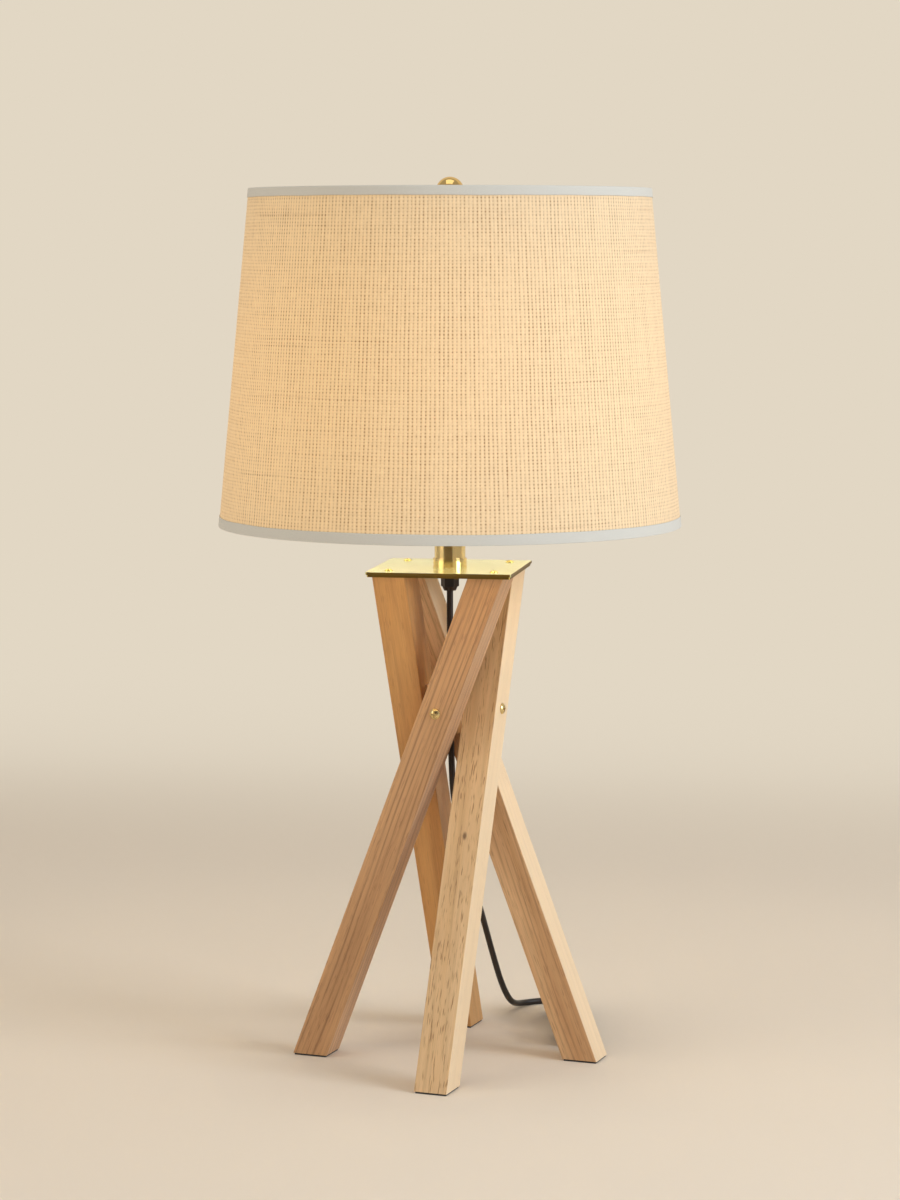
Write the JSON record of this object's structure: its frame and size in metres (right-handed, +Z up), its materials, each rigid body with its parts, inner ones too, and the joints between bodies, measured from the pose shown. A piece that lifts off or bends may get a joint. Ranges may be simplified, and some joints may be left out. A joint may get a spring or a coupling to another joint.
{
  "type": "table lamp",
  "caption": "Table lamp with crossed square wooden legs, a square brass plate and neck, a tapered woven drum shade on a harp, and a black cord with its plug.",
  "frame": {"origin": "on the floor, on the axis of the neck", "axes": "+Z up; the plate's sides lie along X and Y; the front leg's foot is on the -Y side"},
  "size_m": [0.356, 0.3645, 0.684],
  "materials": {
    "ash_wood": "clear matt lacquer",
    "hidden_wood": "bare",
    "foot_rubber": "matt",
    "polished_brass": "polished",
    "zinc_steel": "zinc plated",
    "black_plastic": "matt",
    "cord_sheath": "satin",
    "holder_insulator": "moulded",
    "insulating_card": "pressed paper card",
    "bulb_opal": "opal",
    "bulb_metal": "satin",
    "woven_fabric": "coarse plain weave",
    "stiff_liner": "smooth laminated film",
    "white_tape": "fine woven tape"
  },
  "bodies": {
    "stand": {"leg_left": "ash_wood", "foot_pad_left": "foot_rubber", "leg_back": "ash_wood", "foot_pad_back": "foot_rubber", "leg_right": "ash_wood", "foot_pad_right": "foot_rubber", "leg_front": "ash_wood", "foot_pad_front": "foot_rubber", "centre_block": "hidden_wood", "cross_screws": "polished_brass", "under_plate": "polished_brass", "top_plate": "polished_brass", "plate_screws": "polished_brass", "neck_collar": "polished_brass", "neck_tube": "polished_brass", "neck_cap": "polished_brass", "threaded_pipe": "zinc_steel", "pipe_lock_nut": "zinc_steel", "cord_gland": "black_plastic", "saddle": "polished_brass", "harp": "polished_brass", "holder_cap": "polished_brass", "holder_shell": "polished_brass", "holder_liner": "insulating_card", "holder_body": "holder_insulator", "screw_shell": "bulb_metal", "centre_contact": "polished_brass", "terminal_screws": "zinc_steel", "cord_free": "cord_sheath", "inner_lead": "cord_sheath", "cord_hank": "cord_sheath", "cord_tail": "cord_sheath", "hank_tie": "black_plastic", "plug_body": "black_plastic", "plug_blades": "polished_brass"},
    "shade": {"shade_fabric": "woven_fabric", "shade_liner": "stiff_liner", "tape_bottom": "white_tape", "tape_top": "white_tape", "bottom_ring": "zinc_steel", "spider_fitter": "polished_brass", "spider_hub": "polished_brass"},
    "finial": {"finial": "polished_brass"},
    "bulb": {"bulb_glass": "bulb_opal", "bulb_base": "bulb_metal", "bulb_contact": "zinc_steel"},
    "knob": {"switch_knob": "black_plastic"},
    "sleeve_left": {"harp_sleeve_left": "polished_brass"},
    "sleeve_right": {"harp_sleeve_right": "polished_brass"}
  },
  "joints": [
    {"name": "shade_turn", "type": "hinge", "parent": "stand", "child": "shade", "pos_m": [0, 0, 0.657], "axis": [0, 0, 1], "continuous": true},
    {"name": "finial_turn", "type": "hinge", "parent": "stand", "child": "finial", "pos_m": [0, 0, 0.66], "axis": [0, 0, 1], "continuous": true},
    {"name": "bulb_turn", "type": "hinge", "parent": "stand", "child": "bulb", "pos_m": [0, 0, 0.4635], "axis": [0, 0, 1], "continuous": true},
    {"name": "knob_turn", "type": "hinge", "parent": "stand", "child": "knob", "pos_m": [0, 0, 0.452], "axis": [0, -1, 0], "continuous": true},
    {"name": "sleeve_left_slide", "type": "slide", "parent": "stand", "child": "sleeve_left", "axis": [0, 0, 1], "range_m": [0, 0.012]},
    {"name": "sleeve_right_slide", "type": "slide", "parent": "stand", "child": "sleeve_right", "axis": [0, 0, 1], "range_m": [0, 0.012]}
  ]
}
